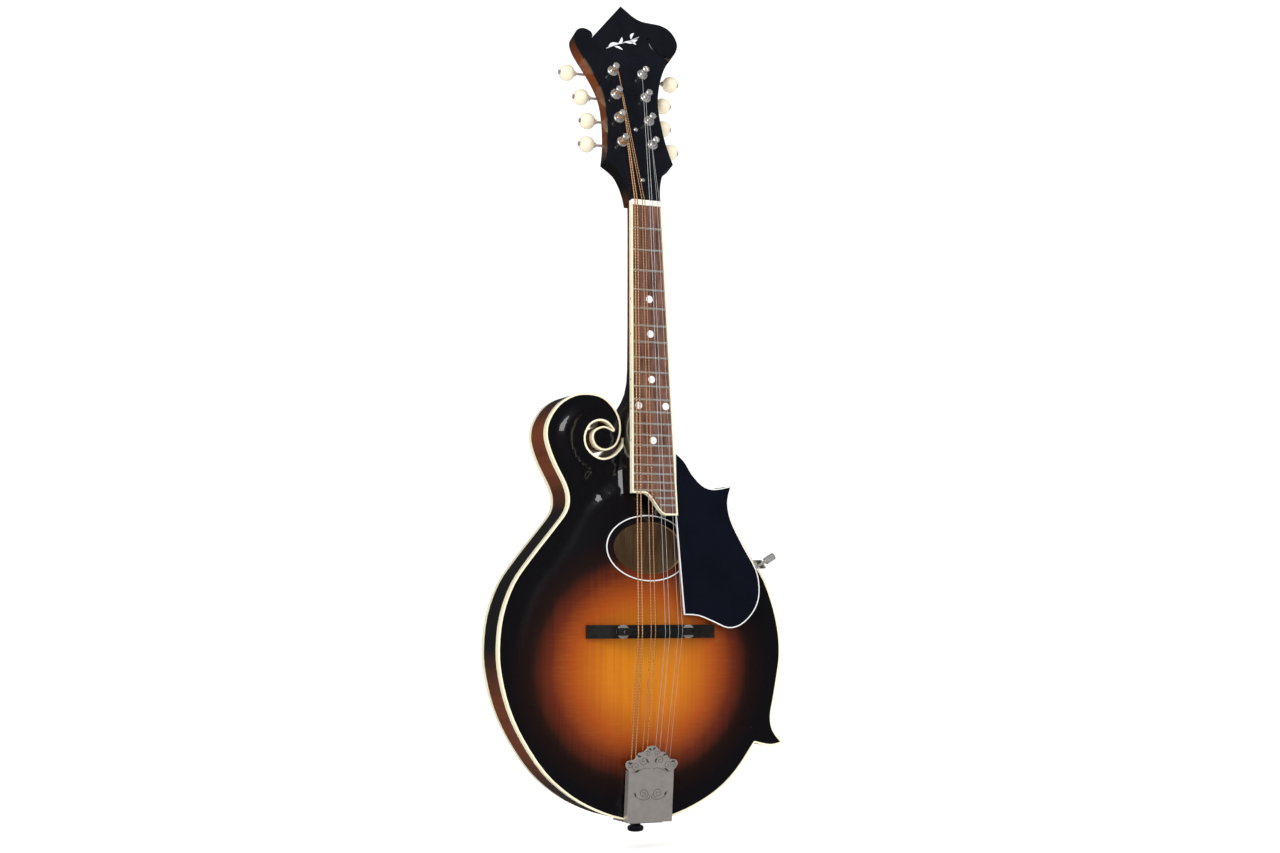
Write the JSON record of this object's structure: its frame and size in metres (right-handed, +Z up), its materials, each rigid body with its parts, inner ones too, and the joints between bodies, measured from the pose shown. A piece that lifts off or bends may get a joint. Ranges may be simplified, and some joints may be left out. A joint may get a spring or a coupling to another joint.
{
  "type": "mandolin",
  "caption": "Scroll-body mandolin with an arched sunburst top, oval sound hole, elevated pickguard, pitched headstock with geared tuners, adjustable bridge and slide-off tailpiece cover.",
  "frame": {"origin": "on the back of the neck at the nut, where a neck hanger's yoke carries the instrument", "axes": "+Z up along the neck to the headstock, the soundboard faces -Y, +X to the treble side (the right, seen from the front)"},
  "size_m": [0.256, 0.1002, 0.7131],
  "materials": {
    "spruce_top": "sunburst, high gloss",
    "maple": "shaded brown, high gloss",
    "inner_wood": "bare",
    "binding": "cream, polished",
    "ebony": "black, satin",
    "rosewood": "satin",
    "black_gloss": "black, high gloss",
    "pearl": "polished",
    "bone": "polished",
    "button_ivoroid": "ivory coloured, satin",
    "fret_metal": "polished nickel silver",
    "nickel": "polished nickel plate",
    "steel": "plain",
    "string_bronze": "wound",
    "string_steel": "plain drawn",
    "silver_line": "polished inlay"
  },
  "bodies": {
    "instrument": {"soundboard": "spruce_top", "back_plate": "maple", "ribs": "maple", "body_binding": "binding", "linings": "inner_wood", "head_block": "inner_wood", "tail_block": "inner_wood", "tone_bar": "inner_wood", "rosette": "silver_line", "neck": "maple", "headstock_overlay": "black_gloss", "truss_rod": "steel", "truss_rod_cover": "black_gloss", "fingerboard": "rosewood", "fingerboard_binding": "binding", "frets": "fret_metal", "position_dots": "pearl", "nut": "bone", "bridge_base": "ebony", "bridge_posts": "nickel", "tailpiece_base": "nickel", "tailpiece_screws": "nickel", "end_pin": "black_gloss", "pickguard": "black_gloss", "pickguard_clamp": "nickel", "tuner_plate_bass": "nickel", "tuner_plate_treble": "nickel", "tuner_screws": "nickel", "post_bushings": "nickel", "wound_strings": "string_bronze", "plain_strings": "string_steel"},
    "saddle": {"bridge_saddle": "ebony"},
    "wheel_bass": {"thumbwheel_bass": "nickel"},
    "wheel_treble": {"thumbwheel_treble": "nickel"},
    "tail_cover": {"tailpiece_cover": "nickel"},
    "truss_nut": {"truss_rod_nut": "steel"},
    "key_1": {"tuner_knob_1": "button_ivoroid", "worm_shaft_1": "nickel"},
    "post_1": {"string_post_1": "nickel"},
    "key_2": {"tuner_knob_2": "button_ivoroid", "worm_shaft_2": "nickel"},
    "post_2": {"string_post_2": "nickel"},
    "key_3": {"tuner_knob_3": "button_ivoroid", "worm_shaft_3": "nickel"},
    "post_3": {"string_post_3": "nickel"},
    "key_4": {"tuner_knob_4": "button_ivoroid", "worm_shaft_4": "nickel"},
    "post_4": {"string_post_4": "nickel"},
    "key_5": {"tuner_knob_5": "button_ivoroid", "worm_shaft_5": "nickel"},
    "post_5": {"string_post_5": "nickel"},
    "key_6": {"tuner_knob_6": "button_ivoroid", "worm_shaft_6": "nickel"},
    "post_6": {"string_post_6": "nickel"},
    "key_7": {"tuner_knob_7": "button_ivoroid", "worm_shaft_7": "nickel"},
    "post_7": {"string_post_7": "nickel"},
    "key_8": {"tuner_knob_8": "button_ivoroid", "worm_shaft_8": "nickel"},
    "post_8": {"string_post_8": "nickel"}
  },
  "joints": [
    {"name": "thumbwheel_bass_turn", "type": "hinge", "parent": "saddle", "child": "wheel_bass", "pos_m": [-0.029, -0.0343, -0.3575], "axis": [0, -1, 0], "range_deg": [-480, 1040]},
    {"name": "saddle_lift", "type": "slide", "parent": "instrument", "child": "saddle", "axis": [0, -1, 0], "range_m": [-0.00085, 0.0019], "deforming": ["wound_strings", "plain_strings"]},
    {"name": "thumbwheel_treble_turn", "type": "hinge", "parent": "saddle", "child": "wheel_treble", "pos_m": [0.029, -0.0343, -0.3575], "axis": [0, -1, 0], "range_deg": [-480, 1040]},
    {"name": "tail_cover_slide", "type": "slide", "parent": "instrument", "child": "tail_cover", "axis": [0, -0.213, 0.9771], "range_m": [0, 0.05]},
    {"name": "truss_nut_turn", "type": "hinge", "parent": "instrument", "child": "truss_nut", "pos_m": [0, -0.0087, 0.01043], "axis": [0, 0.0593, 0.9982], "range_deg": [-180, 180]},
    {"name": "key_1_turn", "type": "hinge", "parent": "instrument", "child": "key_1", "pos_m": [-0.014, 0.02029, 0.0571], "axis": [1, 0, 0], "continuous": true},
    {"name": "post_1_turn", "type": "hinge", "parent": "instrument", "child": "post_1", "pos_m": [-0.014, 0.00106, 0.05726], "axis": [0, -0.9542, 0.299], "continuous": true},
    {"name": "key_2_turn", "type": "hinge", "parent": "instrument", "child": "key_2", "pos_m": [-0.014, 0.02732, 0.07952], "axis": [1, 0, 0], "continuous": true},
    {"name": "post_2_turn", "type": "hinge", "parent": "instrument", "child": "post_2", "pos_m": [-0.014, 0.00809, 0.07968], "axis": [0, -0.9542, 0.299], "continuous": true},
    {"name": "key_3_turn", "type": "hinge", "parent": "instrument", "child": "key_3", "pos_m": [-0.014, 0.03435, 0.10195], "axis": [1, 0, 0], "continuous": true},
    {"name": "post_3_turn", "type": "hinge", "parent": "instrument", "child": "post_3", "pos_m": [-0.014, 0.01511, 0.10211], "axis": [0, -0.9542, 0.299], "continuous": true},
    {"name": "key_4_turn", "type": "hinge", "parent": "instrument", "child": "key_4", "pos_m": [-0.014, 0.04137, 0.12437], "axis": [1, 0, 0], "continuous": true},
    {"name": "post_4_turn", "type": "hinge", "parent": "instrument", "child": "post_4", "pos_m": [-0.014, 0.02214, 0.12453], "axis": [0, -0.9542, 0.299], "continuous": true},
    {"name": "key_5_turn", "type": "hinge", "parent": "instrument", "child": "key_5", "pos_m": [0.014, 0.02029, 0.0571], "axis": [1, 0, 0], "continuous": true},
    {"name": "post_5_turn", "type": "hinge", "parent": "instrument", "child": "post_5", "pos_m": [0.014, 0.00106, 0.05726], "axis": [0, -0.9542, 0.299], "continuous": true},
    {"name": "key_6_turn", "type": "hinge", "parent": "instrument", "child": "key_6", "pos_m": [0.014, 0.02732, 0.07952], "axis": [1, 0, 0], "continuous": true},
    {"name": "post_6_turn", "type": "hinge", "parent": "instrument", "child": "post_6", "pos_m": [0.014, 0.00809, 0.07968], "axis": [0, -0.9542, 0.299], "continuous": true},
    {"name": "key_7_turn", "type": "hinge", "parent": "instrument", "child": "key_7", "pos_m": [0.014, 0.03435, 0.10195], "axis": [1, 0, 0], "continuous": true},
    {"name": "post_7_turn", "type": "hinge", "parent": "instrument", "child": "post_7", "pos_m": [0.014, 0.01511, 0.10211], "axis": [0, -0.9542, 0.299], "continuous": true},
    {"name": "key_8_turn", "type": "hinge", "parent": "instrument", "child": "key_8", "pos_m": [0.014, 0.04137, 0.12437], "axis": [1, 0, 0], "continuous": true},
    {"name": "post_8_turn", "type": "hinge", "parent": "instrument", "child": "post_8", "pos_m": [0.014, 0.02214, 0.12453], "axis": [0, -0.9542, 0.299], "continuous": true}
  ],
  "couplings": [
    {"joint": "thumbwheel_bass_turn", "follows": "saddle_lift", "rad_per_m": 8976},
    {"joint": "thumbwheel_treble_turn", "follows": "saddle_lift", "rad_per_m": 8976},
    {"joint": "post_1_turn", "follows": "key_1_turn", "ratio": 0.066667},
    {"joint": "post_2_turn", "follows": "key_2_turn", "ratio": 0.066667},
    {"joint": "post_3_turn", "follows": "key_3_turn", "ratio": 0.066667},
    {"joint": "post_4_turn", "follows": "key_4_turn", "ratio": 0.066667},
    {"joint": "post_5_turn", "follows": "key_5_turn", "ratio": 0.066667},
    {"joint": "post_6_turn", "follows": "key_6_turn", "ratio": 0.066667},
    {"joint": "post_7_turn", "follows": "key_7_turn", "ratio": 0.066667},
    {"joint": "post_8_turn", "follows": "key_8_turn", "ratio": 0.066667}
  ]
}
